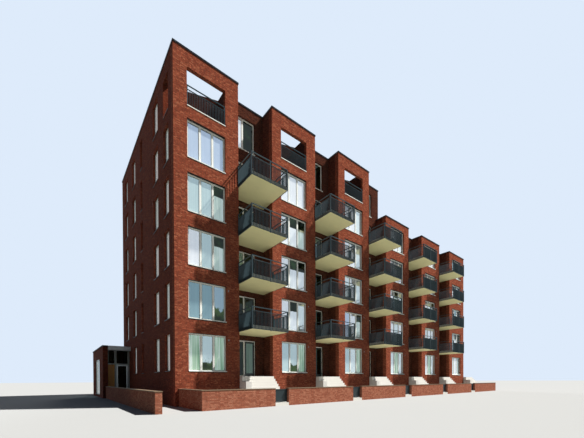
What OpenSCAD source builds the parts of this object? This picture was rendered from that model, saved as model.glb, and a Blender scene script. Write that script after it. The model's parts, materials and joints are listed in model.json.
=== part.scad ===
// Row apartment block: six bays of a projecting brick tower and a recess with balconies.
// Three bays are six storeys high and three are five, over a raised ground floor.

/* [Bays] */
// Width of one whole bay, tower and recess together
bay = 6300; // [5600:50:6400]
// Width of the projecting tower
tower_w = 3830; // [3400:10:4100]
// How far the recess wall lies behind the tower fronts
recess_d = 1110; // [900:10:1500]
// Depth of the whole block, front to rear
depth = 14500; // [13800:50:15500]

/* [Heights] */
// Height of one storey, floor to floor
storey = 2900; // [2750:10:3100]
// Height of the lowest floor above the pavement
floor_1 = 1640; // [1400:10:1900]
// Top of the roof edge above the roof slab
parapet_h = 260; // [200:10:500]

/* [Walls and slabs] */
// Thickness of the outer walls
wall = 350; // [300:10:420]
// Thickness of the floors, roofs and balcony slabs
slab = 220; // [180:10:260]
// Height of the dark roof edge cap
cap_h = 100; // [60:5:150]
// How far the roof edge cap stands out from the wall
cap_out = 30; // [15:5:50]

/* [Windows] */
// Width of the brick right of a tower window
window_pier = 845; // [700:5:1000]
// Distance from the left edge of a tower to its window
window_x = 735; // [500:5:900]
// Height of every window
window_h = 2110; // [1900:10:2250]
// Height of a window sill above its floor
sill_h = 250; // [150:10:350]
// Depth from the wall face to the window frame
reveal = 140; // [100:5:180]
// Thickness of a window frame, front to back
frame_t = 70; // [50:5:90]
// Width of the bars round a window frame
frame_w = 70; // [50:5:100]
// Width of the bars between the lights of a window
mullion_w = 105; // [80:5:120]
// Thickness of the glass
glass_t = 24; // [10:2:30]
// Thickness of the window sills
sill_t = 40; // [25:5:60]
// How far the sills stand out from the wall
sill_out = 25; // [10:5:30]

/* [Side windows] */
// Distance from the tower fronts to the first window
first_y = 860; // [700:10:950]
// Width of the first window
first_w = 920; // [800:10:1000]
// Distance from the tower fronts to the second window
second_y = 2940; // [2900:10:3100]
// Width of the second, fourth and fifth windows
side_w = 1110; // [900:10:1200]
// Distance from the rear to the near edge of the third window
third_back = 7600; // [7200:10:7700]
// Width of the third window
third_w = 630; // [500:10:800]
// Distance from the rear to the near edge of the fourth window
fourth_back = 5300; // [5000:10:5500]
// Distance from the rear to the near edge of the fifth window
fifth_back = 2340; // [2100:10:2600]

/* [Roof terraces] */
// Height of the opening's bottom edge above the top floor
loggia_sill = 110; // [80:10:200]
// Height of the opening
loggia_h = 2080; // [1900:10:2200]
// Thickness of the tower front around the opening
loggia_front = 220; // [180:10:300]
// Thickness of the linings beside a roof terrace
loggia_side = 140; // [100:10:200]
// Distance from the tower front to the rear wall at its right end
loggia_right = 1690; // [1500:10:2000]
// The same at its left end, since the wall stands at an angle
loggia_left = 2750; // [2300:10:3000]
// Height of the railing above the opening's bottom edge
loggia_rail_h = 1150; // [1050:10:1200]
// How far the railing stands back from the tower front
loggia_rail_in = 20; // [10:5:60]

/* [Balconies] */
// How far a balcony stands out from the tower fronts
balcony_out = 1550; // [1300:10:1700]
// Height of the handrail above the slab
rail_h = 1050; // [1000:10:1200]
// Distance from one flat bar to the next
bar_pitch = 95; // [80:5:110]
// Thickness of a flat bar, which stands edge on to the street
bar_t = 12; // [8:1:16]
// Height of the flats above and below the bars
flat_h = 20; // [12:2:40]
// How far a middle post reaches below the slab
foot_h = 30; // [0:5:60]
// Height of the open strip between the bars and the handrail
rail_gap = 190; // [120:5:260]
// Height of the handrail's section
handrail_h = 40; // [25:5:60]
// Gap between the front and side panels of a railing
panel_gap = 2; // [1:1:5]
// Side of a square railing post, and depth of the bars and rails
post_w = 50; // [40:5:70]

/* [Recess doors] */
// Distance from the tower side to the glazed opening
door_x = 100; // [60:10:200]
// Width of the fixed light beside the door
light_w = 880; // [700:10:1000]
// Width of the door leaf
leaf_w = 720; // [650:10:780]
// Thickness of a door leaf
leaf_t = 60; // [50:2:70]
// Width of the bars round a door leaf's glass
leaf_bar = 95; // [70:5:120]
// Free gap round a door leaf
leaf_gap = 9; // [7:1:12]
// Width of the jamb that carries the hinges
jamb_w = 50; // [40:2:70]
// Outer radius of a hinge barrel
hinge_r = 9; // [7:0.5:11]
// Radius of a hinge pin
pin_r = 4; // [3:0.5:5]
// Clearance between a hinge pin and its barrel
pin_gap = 0.3; // [0.2:0.05:0.5]
// Length of a hinge
hinge_l = 120; // [90:5:150]
// Width of a hinge plate on the leaf or the jamb
plate_w = 34; // [25:1:40]
// Thickness of a hinge plate
plate_t = 4; // [3:0.5:5]
// Height of a door handle above the foot of its leaf
handle_z = 1000; // [950:10:1080]
// How far a door handle stands out from its leaf
handle_out = 50; // [40:2:60]
// Length of a door handle
handle_l = 120; // [100:5:140]
// Radius of a door handle's bar
handle_r = 9; // [7:0.5:11]

/* [Terraces and steps] */
// Height of one riser divides the lowest floor by this count
risers = 10; // [9:1:12]
// Depth of a tread
going = 160; // [150:5:220]
// How far a terrace stands out from the tower fronts
terrace_out = 90; // [60:10:200]
// Width of the stepped cheek beside the steps
cheek_w = 400; // [300:10:500]
// How far the cheek's upper tier stands out from the tower fronts
cheek_top_out = 295; // [260:5:400]
// How far the cheek's lower tier stands out from the tower fronts
cheek_low_out = 766; // [600:2:900]

/* [Garden walls] */
// Distance from the tower fronts to the outer face of the garden walls
garden_out = 3170; // [2800:10:3400]
// Height of the garden walls with their coping
garden_h = 960; // [800:10:1100]
// Thickness of the garden walls
garden_t = 220; // [200:5:260]
// Start of the first garden wall from the left face of the block
garden_x0 = 190; // [100:10:300]
// Start of a gap from the left edge of its bay
gap_x = 4240; // [4000:10:4300]
// Width of a gap between garden walls
gap_w = 900; // [800:10:1000]
// How much of the last bay the garden wall runs along
garden_last = 4900; // [4600:10:5200]
// Gap under a gate leaf above the landing it swings over
gate_foot = 40; // [25:5:60]
// Gap between a gate leaf and the underside of the coping
gate_head = 15; // [10:5:30]
// Thickness of the sheet in a gate leaf
gate_sheet = 12; // [6:2:20]
// Thickness of the garden wall coping
coping_h = 40; // [30:5:60]
// How far the coping stands out from the garden wall
coping_out = 20; // [10:5:40]
// Distance from the block to the outer face of the path's side wall
path_out = 1796; // [1600:2:1820]
// Side of the pier at the end of the side wall
pier_w = 284; // [240:2:340]

/* [Entrance wing] */
// Width of the entrance wing outside the left face of the block
wing_out = 1970; // [1880:10:2090]
// Distance from the tower fronts to the front of the canopy
wing_y = 11450; // [11000:50:12000]
// How far the wing runs on behind the block
wing_back = 4100; // [3500:50:4500]
// How far the wing runs along the rear of the block
wing_in = 4000; // [3500:50:4300]
// Height of the wing
wing_h = 4190; // [4000:10:4300]
// Thickness of the wing's walls
wing_wall = 350; // [300:10:400]
// Depth of the porch under the canopy
porch_d = 600; // [500:10:800]
// Height of the canopy's front
canopy_h = 340; // [250:10:400]
// Height of the wing's floor above the pavement
wing_floor = 60; // [40:5:120]
// Distance from the tower fronts to the wing's side window
wing_window_y = 13700; // [13000:50:14500]
// Width of the wing's side window
wing_window_w = 2950; // [2500:50:3200]
// Height of the wing's side window above the pavement
wing_window_z = 200; // [150:10:500]
// Height of the wing's side window
wing_window_h = 3050; // [2500:50:3200]
// Height of the entrance door leaf
entry_h = 2640; // [2500:10:2680]
// Height of the top of the transom above the entrance door
transom_z = 2790; // [2770:10:2900]
// Width of the ochre panel beside the entrance door
panel_w = 538; // [450:2:600]
// Thickness of the ochre panel
panel_t = 40; // [20:5:60]
// Width of the entrance door leaf
entry_w = 835; // [750:5:900]
// Distance from the block to the entrance door leaf
entry_x = 115; // [90:5:150]

/* [Hidden] */
bays = 6;
tall_bays = 3;
low_storeys = 5;
tall_storeys = 6;
recess_w = bay - tower_w;
window_w = tower_w - window_x - window_pier;
low_h = floor_1 + low_storeys * storey + parapet_h;
tall_h = floor_1 + tall_storeys * storey + parapet_h;
low_top = low_h - cap_h;
tall_top = tall_h - cap_h;
length = bays * bay;
tall_len = tall_bays * bay + wall;
riser = floor_1 / risers;
gate_w = gap_w - 2 * leaf_gap;
gate_z = riser + gate_foot;
gate_h = garden_h - coping_h - gate_head - gate_z;
wing_top = wing_h - cap_h;
door_h = sill_h + window_h;
door_w = light_w + frame_w + leaf_w + 2 * leaf_gap + jamb_w;
leaf_h = door_h - jamb_w - 2 * leaf_gap;
x_min = -wing_out - cap_out;
x_max = length + cap_out;
y_min = -garden_out - coping_out;
y_max = depth + wing_back + cap_out;
mid_x = (x_min + x_max) / 2;
mid_y = (y_min + y_max) / 2;
side_joint = (first_y + first_w + second_y) / 2;

// Windows of the side walls: distance from the tower fronts and width of each column
side_cols = [
    [first_y, first_w],
    [second_y, side_w],
    [depth - third_back, third_w],
    [depth - fourth_back, side_w],
    [depth - fifth_back, side_w]
];

function is_tall(k) = k < tall_bays;
function storeys(k) = is_tall(k) ? tall_storeys : low_storeys;
function top_of(k) = is_tall(k) ? tall_top : low_top;
function recess_x(k) = k * bay + tower_w - wall;
function recess_end(k) = (k + 1) * bay + (k == bays - 1 ? 0 : wall);
function has_balcony(k, level) = k < bays - 1 && level > 1 && level <= low_storeys;
function has_door(k, level) = level == 1 || has_balcony(k, level);
function recess_sill(k, level) = floor_z(level) + (has_door(k, level) ? 0 : sill_h);
function recess_h(k, level) = has_door(k, level) ? door_h : window_h;
function leaf_x(k) = k * bay + tower_w + door_x + light_w + frame_w;
function floor_z(level) = floor_1 + (level - 1) * storey;

// Stands a flat outline drawn in X and Z up as a wall, its outer face at y and its body behind
module upright(y, t) {
    translate([0, y + t, 0])
        rotate([90, 0, 0])
            linear_extrude(t)
                children();
}

// Stands a flat outline drawn in Y and Z up as a wall, its left face at x
module sideways(x, t) {
    translate([x, 0, 0])
        rotate([90, 0, 90])
            linear_extrude(t)
                children();
}

// A rectangle from its lower left corner
module area(x, z, w, h) {
    translate([x, z])
        square([w, h]);
}

// Outline of a window frame with its lights cut out
module frame_outline(x, z, w, h, lights) {
    light = (w - 2 * frame_w - (lights - 1) * mullion_w) / lights;
    difference() {
        area(x, z, w, h);
        for (i = [0 : lights - 1])
            area(x + frame_w + i * (light + mullion_w), z + frame_w, light, h - 2 * frame_w);
    }
}

// Towers

module tower_front(k) {
    terrace = floor_z(tall_storeys);
    color("#8a4a35")
        difference() {
            upright(0, wall)
                difference() {
                    area(k * bay, 0, tower_w, top_of(k));
                    for (level = [1 : low_storeys])
                        area(k * bay + window_x, floor_z(level) + sill_h, window_w, window_h);
                    if (is_tall(k))
                        area(k * bay + window_x, terrace + loggia_sill, window_w, loggia_h);
                }
            if (is_tall(k))
                translate([k * bay + wall, loggia_front, terrace])
                    cube([tower_w - 2 * wall, wall, storey + parapet_h]);
        }
}

module tower_side_walls() {
    color("#7c412f")
        for (k = [0 : bays - 1], right = [0, 1])
            if (k > 0 || right == 1)
                translate([k * bay + right * (tower_w - wall), wall, 0])
                    cube([wall, recess_d - wall, top_of(k)]);
}

// Recesses

module recess_walls(first, last) {
    color("#6f3a2b")
        for (k = [first : last]) {
            x = k * bay + tower_w + door_x;
            z = floor_z(1) + door_h;
            upright(recess_d, wall)
                difference() {
                    area(recess_x(k), z, recess_end(k) - recess_x(k), top_of(k) - z);
                    for (level = [2 : storeys(k)])
                        area(x, recess_sill(k, level), door_w, recess_h(k, level));
                }
        }
}

// Wall of the lowest storey on both sides of the terrace door, with the plinth below
module recess_bases() {
    color("#6f3a2b")
        for (k = [0 : bays - 1])
            upright(recess_d, wall)
                difference() {
                    area(recess_x(k), 0, recess_end(k) - recess_x(k), floor_1 + door_h);
                    area(k * bay + tower_w + door_x, floor_1, door_w, door_h);
                }
}

// Long walls

// The front piece holds the first column of windows and the roof terrace's side opening
module side_wall_front() {
    color("#5d3226")
        sideways(0, wall)
            difference() {
                area(wall, 0, side_joint - wall, tall_top);
                for (level = [1 : tall_storeys - 1])
                    area(first_y, floor_z(level) + sill_h, first_w, window_h);
                area(first_y, floor_z(tall_storeys) + loggia_sill, first_w, loggia_h);
            }
}

module side_wall_left() {
    color("#5d3226")
        sideways(0, wall)
            difference() {
                area(side_joint, 0, depth - wall - side_joint, tall_top);
                for (c = [1 : len(side_cols) - 1], level = [1 : tall_storeys])
                    area(side_cols[c][0], floor_z(level) + sill_h, side_cols[c][1], window_h);
            }
}

module side_wall_right() {
    color("#5d3226")
        sideways(length - wall, wall)
            difference() {
                area(recess_d + wall, 0, depth - 2 * wall - recess_d, low_top);
                for (c = [1 : len(side_cols) - 1], level = [1 : low_storeys])
                    area(side_cols[c][0], floor_z(level) + sill_h, side_cols[c][1], window_h);
            }
}

module rear_openings(first, last, levels) {
    for (k = [first : last], level = [1 : levels])
        if (k > 0 || level > 1) {
            area(k * bay + window_x, floor_z(level) + sill_h, window_w, window_h);
            area(k * bay + tower_w + door_x, floor_z(level) + sill_h, light_w, window_h);
        }
}

module rear_wall_tall() {
    color("#6f3a2b")
        upright(depth - wall, wall)
            difference() {
                area(0, 0, tall_len, tall_top);
                rear_openings(0, tall_bays - 1, tall_storeys);
            }
}

module rear_wall_low() {
    color("#6f3a2b")
        upright(depth - wall, wall)
            difference() {
                area(tall_len, 0, length - tall_len, low_top);
                rear_openings(tall_bays, bays - 1, low_storeys);
            }
}

module tall_end_wall() {
    z = floor_z(tall_storeys);
    color("#6f3a2b")
        translate([tall_bays * bay, recess_d + wall, z])
            cube([wall, depth - 2 * wall - recess_d, tall_top - z]);
}

// Plan of what lies behind the slanting line y_left to y_right in a tower, as deep as t
module slanting(k, shift, t) {
    x0 = k * bay + wall;
    x1 = k * bay + tower_w - wall;
    polygon([[x0, loggia_left + shift], [x1, loggia_right + shift],
        [x1, loggia_right + shift + t], [x0, loggia_left + shift + t]]);
}

// Each roof terrace has a slanting rear wall and a lining on the sides that have no window
module roof_terrace_walls() {
    z = floor_z(tall_storeys);
    color("#4a2a20")
        for (k = [0 : tall_bays - 1])
            translate([0, 0, z])
                linear_extrude(tall_top - z) {
                    slanting(k, 0, wall);
                    difference() {
                        for (right = [k == 0 ? 1 : 0 : 1])
                            translate([lining_x(k, right), loggia_front])
                                square([loggia_side, loggia_left]);
                        slanting(k, 0, depth);
                    }
                }
}

function lining_x(k, right) = k * bay + (right == 1 ? tower_w - wall - loggia_side : wall);

// Floors and roofs

// Outline of the inside of the block, from bay first up to the end of bay last
module plan(first, last, tongue_y, x_end) {
    difference() {
        translate([first * bay + (first == 0 ? wall : 0), tongue_y])
            square([x_end - first * bay - (first == 0 ? wall : 0), depth - wall - tongue_y]);
        for (k = [max(first - 1, 0) : last])
            translate([recess_x(k), 0])
                square([recess_end(k) - recess_x(k), recess_d + wall]);
    }
}

module floor_slabs() {
    color("#b9b4a8")
        for (level = [1 : tall_storeys])
            translate([0, 0, floor_z(level) - slab])
                linear_extrude(slab)
                    if (level == tall_storeys)
                        plan(0, tall_bays - 1, wall, tall_bays * bay);
                    else
                        plan(0, bays - 1, wall, length - wall);
}

// Floor of the entrance wing behind its screen
module wing_base() {
    y = wing_y + porch_d + frame_t;
    color("#b9b4a8")
        linear_extrude(wing_floor) {
            translate([-wing_out + wing_wall, y])
                square([wing_out - wing_wall, depth + wing_back - wing_wall - y]);
            translate([-wing_wall, depth])
                square([wing_in, wing_back - wing_wall]);
        }
}

module roofs() {
    color("#55565a") {
        roof_tall();
        roof_low();
    }
}

module roof_tall() {
    translate([0, 0, floor_z(tall_storeys + 1) - slab])
            linear_extrude(slab)
                difference() {
                    plan(0, tall_bays - 1, recess_d + wall, tall_bays * bay);
                    for (k = [0 : tall_bays - 1])
                        slanting(k, wall - depth, depth);
                }
}

module roof_low() {
    translate([0, 0, floor_z(low_storeys + 1) - slab])
        linear_extrude(slab)
            plan(tall_bays, bays - 1, wall, length - wall);
}

// Outline of a block, its towers included, grown or shrunk by out
module block_plan(first, last, x_end, out) {
    translate([first * bay - out, recess_d - out])
        square([x_end - first * bay + 2 * out, depth - recess_d + 2 * out]);
    for (k = [first : last])
        translate([k * bay - out, -out])
            square([tower_w + 2 * out, depth / 2]);
}

module cap_ring(first, last, x_end) {
    difference() {
        block_plan(first, last, x_end, cap_out);
        block_plan(first, last, x_end, -wall);
    }
}

module roof_edge_cap() {
    color("#2b2c2f") {
        translate([0, 0, tall_top])
            linear_extrude(cap_h)
                cap_ring(0, tall_bays - 1, tall_len);
        translate([0, 0, low_top])
            linear_extrude(cap_h)
                difference() {
                    cap_ring(tall_bays, bays - 1, length);
                    translate([tall_bays * bay - wall, recess_d])
                        square([2 * wall, depth]);
                }
    }
}

// Balconies

module balcony_slabs() {
    color("#cfc9b8")
        for (k = [0 : bays - 2], level = [2 : low_storeys])
            translate([k * bay + tower_w, -balcony_out, floor_z(level) - slab])
                cube([recess_w, balcony_out + recess_d, slab]);
}

// A panel as long as l and as high as h, drawn along X from zero. Flat bars stand between two
// flats, and the posts carry the handrail above an open strip.
module railing(l, h, middle) {
    mid = middle ? (l - post_w) / 2 : 0;
    top = h - handrail_h - rail_gap;
    rotate([90, 0, 0])
        translate([0, 0, -post_w])
            linear_extrude(post_w)
                difference() {
                    union() {
                        square([l, h]);
                        if (mid > 0)
                            area(mid, -foot_h, post_w, foot_h);
                    }
                    if (mid > 0)
                        for (x = [0, mid])
                            railing_field(x + post_w, mid - post_w, top);
                    else
                        railing_field(post_w, l - 2 * post_w, top);
                }
}

// The openings between two posts, l wide from x on, under a top flat at height top
module railing_field(x, l, top) {
    n = round((l + bar_t) / bar_pitch);
    step = (l + bar_t) / n;
    area(x, top, l, rail_gap);
    for (i = [0 : n - 1])
        area(x + i * step, flat_h, step - bar_t, top - 2 * flat_h);
}

module balcony_railings(k) {
    h = rail_h + slab;
    color("#2f3b40")
        for (level = [2 : low_storeys])
            translate([k * bay + tower_w, -balcony_out - post_w, floor_z(level) - slab]) {
                translate([-post_w, 0, 0])
                    railing(recess_w + 2 * post_w, h, true);
                for (right = [0, 1])
                    translate([right ? recess_w + post_w : -post_w, balcony_side(right), 0])
                        rotate([0, 0, right ? 90 : -90])
                            railing(balcony_out - panel_gap, h, false);
            }
}

// Where a side panel starts, measured from the outer face of the front panel
function balcony_side(right) = post_w + (right ? panel_gap : balcony_out);

module roof_terrace_railings() {
    color("#2f3b40")
        for (k = [0 : tall_bays - 1])
            translate([k * bay + window_x, loggia_rail_in, floor_z(tall_storeys) + loggia_sill + sill_t])
                railing(window_w, loggia_rail_h - sill_t, false);
}

// Window frames and glass

module front_frames() {
    color("#d8d2c0")
        for (k = [0 : bays - 1]) {
            upright(reveal, frame_t)
                for (level = [1 : low_storeys])
                    frame_outline(k * bay + window_x, floor_z(level) + sill_h, window_w, window_h, 3);
            upright(recess_d + reveal, frame_t)
                for (level = [1 : storeys(k)])
                    if (has_door(k, level))
                        door_frame(k, floor_z(level));
                    else
                        frame_outline(k * bay + tower_w + door_x, recess_sill(k, level), door_w, window_h, 2);
        }
}

// Frame of a fixed light and a door beside it
module door_frame(k, z) {
    x = k * bay + tower_w + door_x;
    difference() {
        area(x, z, door_w, door_h);
        area(x + frame_w, z + frame_w, light_w - frame_w, door_h - 2 * frame_w);
        area(leaf_x(k), z, leaf_w + 2 * leaf_gap, leaf_h + 2 * leaf_gap);
    }
}

// One sheet just behind each window frame and each light beside a door
module front_glass() {
    color("#9fb4c0")
        for (k = [0 : bays - 1]) {
            upright(reveal + frame_t, glass_t)
                for (level = [1 : low_storeys])
                    area(k * bay + window_x, floor_z(level) + sill_h, window_w, window_h);
            upright(recess_d + reveal + frame_t, glass_t)
                for (level = [1 : storeys(k)])
                    area(k * bay + tower_w + door_x, recess_sill(k, level),
                        has_door(k, level) ? light_w + frame_w / 2 : door_w, recess_h(k, level));
        }
}

// Doors to the balconies, shut
module balcony_doors() {
    color("#26352b")
        for (k = [0 : bays - 1], level = [2 : low_storeys])
            if (has_balcony(k, level))
                leaf_panel(leaf_x(k), recess_d + reveal, floor_z(level), leaf_w + 2 * leaf_gap,
                    leaf_h + 2 * leaf_gap);
}

// Sills from the face of the frames to just outside the wall
module window_sills() {
    color("#cfc8b4") {
        for (k = [0 : bays - 1]) {
            for (level = [1 : low_storeys])
                front_sill(k * bay + window_x, 0, floor_z(level) + sill_h, window_w, reveal);
            if (is_tall(k))
                front_sill(k * bay + window_x, 0, floor_z(tall_storeys) + loggia_sill, window_w, loggia_front);
            for (level = [2 : storeys(k)])
                if (!has_door(k, level))
                    front_sill(k * bay + tower_w + door_x, recess_d, recess_sill(k, level), door_w, reveal);
            for (level = [1 : storeys(k)])
                if (k > 0 || level > 1) {
                    z = floor_z(level) + sill_h;
                    rear_sill(k * bay + window_x, z, window_w);
                    rear_sill(k * bay + tower_w + door_x, z, light_w);
                }
        }
        for (c = [0 : len(side_cols) - 1]) {
            for (level = [1 : tall_storeys])
                if (c > 0 || level < tall_storeys)
                    side_sill(-sill_out, side_cols[c], floor_z(level) + sill_h, reveal + sill_out);
            if (c > 0)
                for (level = [1 : low_storeys])
                    side_sill(length - reveal, side_cols[c], floor_z(level) + sill_h, reveal + sill_out);
        }
        side_sill(-sill_out, side_cols[0], floor_z(tall_storeys) + loggia_sill, wall + sill_out);
        side_sill(-wing_out - sill_out, [wing_window_y, wing_window_w], wing_window_z, reveal / 2 + sill_out);
    }
}

module front_sill(x, y, z, w, inner) {
    translate([x, y - sill_out, z])
        cube([w, inner + sill_out, sill_t]);
}

module rear_sill(x, z, w) {
    translate([x, depth - reveal, z])
        cube([w, reveal + sill_out, sill_t]);
}

module side_sill(x, column, z, l) {
    translate([x, column[0], z])
        cube([l, column[1], sill_t]);
}

module side_window_set(x, t, framed) {
    sideways(x, t) {
        for (c = [0 : len(side_cols) - 1], level = [1 : tall_storeys])
            if (c > 0 || level < tall_storeys)
                if (framed)
                    frame_outline(side_cols[c][0], floor_z(level) + sill_h, side_cols[c][1], window_h, 1);
                else
                    area(side_cols[c][0], floor_z(level) + sill_h, side_cols[c][1], window_h);
    }
}

module right_window_set(x, t, framed) {
    sideways(x, t) {
        for (c = [1 : len(side_cols) - 1], level = [1 : low_storeys])
            if (framed)
                frame_outline(side_cols[c][0], floor_z(level) + sill_h, side_cols[c][1], window_h, 1);
            else
                area(side_cols[c][0], floor_z(level) + sill_h, side_cols[c][1], window_h);
    }
}

module side_frames() {
    color("#d8d2c0") {
        side_window_set(reveal, frame_t, true);
        right_window_set(length - reveal - frame_t, frame_t, true);
        sideways(-wing_out + reveal / 2, frame_t)
            frame_outline(wing_window_y, wing_window_z, wing_window_w, wing_window_h, 2);
    }
}

module side_glass() {
    color("#9fb4c0") {
        side_window_set(reveal + frame_t, glass_t, false);
        right_window_set(length - reveal - frame_t - glass_t, glass_t, false);
        sideways(-wing_out + reveal / 2 + frame_t, glass_t)
            area(wing_window_y, wing_window_z, wing_window_w, wing_window_h);
        upright(wing_y + porch_d + frame_t, glass_t)
            area(-wing_out + wing_wall, transom_z - frame_w / 2, wing_out - wing_wall, wing_top - transom_z);
    }
}

module rear_window_set(y, t, framed) {
    upright(y, t)
        for (k = [0 : bays - 1], level = [1 : storeys(k)])
            if (k > 0 || level > 1) {
                z = floor_z(level) + sill_h;
                if (framed) {
                    frame_outline(k * bay + window_x, z, window_w, window_h, 3);
                    frame_outline(k * bay + tower_w + door_x, z, light_w, window_h, 1);
                } else {
                    area(k * bay + window_x, z, window_w, window_h);
                    area(k * bay + tower_w + door_x, z, light_w, window_h);
                }
            }
}

module rear_frames() {
    color("#d8d2c0")
        rear_window_set(depth - reveal - frame_t, frame_t, true);
}

module rear_glass() {
    color("#9fb4c0")
        rear_window_set(depth - reveal - frame_t - glass_t, glass_t, false);
}

// Terrace doors of the lowest floor, hinged on their right edge and opening outwards

module terrace_door(k) {
    color("#26352b")
        door_leaf(leaf_x(k) + leaf_gap, recess_d + reveal, floor_1 + leaf_gap, leaf_w, leaf_h);
}

// A leaf with one pane, its outer face at y and its lower left corner at x and z
module leaf_panel(x, y, z, w, h) {
    upright(y, leaf_t)
        difference() {
            area(x, z, w, h);
            area(x + leaf_bar, z + 2 * leaf_bar, w - 2 * leaf_bar, h - 3 * leaf_bar);
        }
    upright(y + (leaf_t - glass_t) / 2, glass_t)
        area(x + leaf_bar, z + 2 * leaf_bar, w - 2 * leaf_bar, h - 3 * leaf_bar);
}

// The same with its hinges on the right and a lever handle
module door_leaf(x, y, z, w, h) {
    leaf_panel(x, y, z, w, h);
    for (i = [0 : 2])
        translate([x + w + leaf_gap / 2, y - hinge_r, z + hinge_z(i, h)])
            leaf_hinge();
    translate([x + leaf_bar / 2, y, z + handle_z])
        rotate([90, 0, 0]) {
            cylinder(h = handle_out, r = handle_r, $fn = 24);
            translate([0, 0, handle_out - handle_r])
                rotate([0, 90, 0])
                    cylinder(h = handle_l, r = handle_r, $fn = 24);
        }
}

// The fixed halves of a leaf's three hinges
module leaf_pins(x, y, z, w, h) {
    for (i = [0 : 2])
        translate([x + w + leaf_gap / 2, y - hinge_r, z + hinge_z(i, h)])
            frame_hinge();
}

function hinge_z(i, h) = (0.12 + 0.38 * i) * h;

// Barrel of the leaf, bored for the pin, with the plate that lies on the leaf
module leaf_hinge() {
    l = hinge_l / 3 - 2 * pin_gap;
    difference() {
        translate([0, 0, -l / 2])
            hinge_part(l, -1);
        cylinder(h = hinge_l, r = pin_r + pin_gap, center = true, $fn = 32);
    }
}

// Two barrels on the jamb, joined by the pin that the leaf turns on
module frame_hinge() {
    for (end = [-1, 1])
        translate([0, 0, end * hinge_l / 3 - hinge_l / 6])
            hinge_part(hinge_l / 3, 1);
    cylinder(h = hinge_l, r = pin_r, center = true, $fn = 32);
}

module hinge_part(l, side) {
    cylinder(h = l, r = hinge_r, $fn = 32);
    translate([side < 0 ? -plate_w : 0, hinge_r - plate_t, 0])
        cube([plate_w, plate_t, l]);
}

module door_hinges() {
    color("#9a9c9a") {
        for (k = [0 : bays - 1])
            leaf_pins(leaf_x(k) + leaf_gap, recess_d + reveal, floor_1 + leaf_gap, leaf_w, leaf_h);
        leaf_pins(-entry_x - entry_w, wing_y + porch_d, wing_floor + leaf_gap, entry_w, entry_h);
        for (k = [0 : bays - 2])
            at_gate(k)
                leaf_pins(0, 0, 0, gate_w, gate_h);
    }
}

// Garden gates, hinged on their left edge and opening inwards. A gate is drawn like a door leaf,
// with its hinges on the right, and then turned half round.

module at_gate(k) {
    translate([k * bay + gap_x + gap_w - leaf_gap, -garden_out + garden_t, gate_z])
        rotate([0, 0, 180])
            children();
}

module garden_gate(k) {
    color("#2f3b40")
        at_gate(k) {
            upright(0, post_w)
                difference() {
                    square([gate_w, gate_h]);
                    area(post_w, post_w, gate_w - 2 * post_w, gate_h - 2 * post_w);
                }
            upright((post_w - gate_sheet) / 2, gate_sheet)
                area(post_w, post_w, gate_w - 2 * post_w, gate_h - 2 * post_w);
            for (i = [0 : 2])
                translate([gate_w + leaf_gap / 2, -hinge_r, hinge_z(i, gate_h)])
                    leaf_hinge();
        }
}

// Terraces, steps and garden walls

module terraces() {
    color("#efece4")
        for (k = [0 : bays - 1])
            translate([k * bay + tower_w, -terrace_out, 0])
                cube([recess_w, terrace_out + recess_d, floor_1]);
}

// Flights of steps, each with a landing on its lowest tread that runs out to the gate
module garden_steps() {
    foot = terrace_out + (risers - 1) * going;
    color("#efece4")
        for (k = [0 : bays - 1]) {
            sideways(k * bay + tower_w + cheek_w, recess_w - cheek_w)
                union()
                    for (i = [1 : risers - 1])
                        area(-terrace_out - i * going, 0, going, floor_1 - i * riser);
            if (k < bays - 1)
                translate([k * bay + gap_x, -garden_out, 0])
                    cube([gap_w, garden_out - foot, riser]);
        }
}

module step_cheeks() {
    color("#e3dfd6")
        for (k = [0 : bays - 1])
            sideways(k * bay + tower_w, cheek_w) {
                area(-cheek_top_out, 0, cheek_top_out - terrace_out, floor_1);
                area(-cheek_low_out, 0, cheek_low_out - cheek_top_out, floor_1 - 2 * riser);
            }
}

function garden_start(k) = k == 0 ? garden_x0 : (k - 1) * bay + gap_x + gap_w;
function garden_end(k) = k == bays - 1 ? k * bay + garden_last : k * bay + gap_x;

// Outline of the garden walls in plan, widened by out for the coping
module garden_plan(out) {
    offset_y = garden_out + out;
    for (k = [0 : bays - 1])
        translate([garden_start(k) - out, -offset_y])
            square([garden_end(k) - garden_start(k) + 2 * out, garden_t + 2 * out]);
    translate([garden_x0 - out, -garden_out + garden_t])
        square([garden_t + 2 * out, garden_out - garden_t]);
    translate([-path_out - out, -offset_y])
        square([garden_t + 2 * out, garden_out + wing_y + out]);
    translate([-path_out - out, -offset_y])
        square([pier_w + 2 * out, pier_w + 2 * out]);
}

module garden_walls() {
    color("#8a4a35")
        linear_extrude(garden_h - coping_h)
            garden_plan(0);
}

module garden_copings() {
    color("#c9c2b2")
        translate([0, 0, garden_h - coping_h])
            linear_extrude(coping_h)
                garden_plan(coping_out);
}

// Entrance wing

module wing_walls() {
    y_end = depth + wing_back;
    color("#5d3226") {
        sideways(-wing_out, wing_wall)
            difference() {
                area(wing_y, 0, y_end - wing_y, wing_top);
                area(wing_window_y, wing_window_z, wing_window_w, wing_window_h);
            }
        translate([-wing_out + wing_wall, y_end - wing_wall, 0])
            cube([wing_out + wing_in - wing_wall, wing_wall, wing_top]);
        translate([wing_in - wing_wall, depth, 0])
            cube([wing_wall, wing_back - wing_wall, wing_top]);
    }
}

module wing_roof() {
    color("#55565a")
        translate([0, 0, wing_top])
            linear_extrude(cap_h) {
                translate([-wing_out - cap_out, wing_y - cap_out])
                    square([wing_wall + cap_out, porch_d + 2 * cap_out]);
                translate([-wing_out - cap_out, wing_y + porch_d])
                    square([wing_out + cap_out, depth + wing_back - wing_y - porch_d + cap_out]);
                translate([0, depth])
                    square([wing_in + cap_out, wing_back + cap_out]);
            }
}

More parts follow.
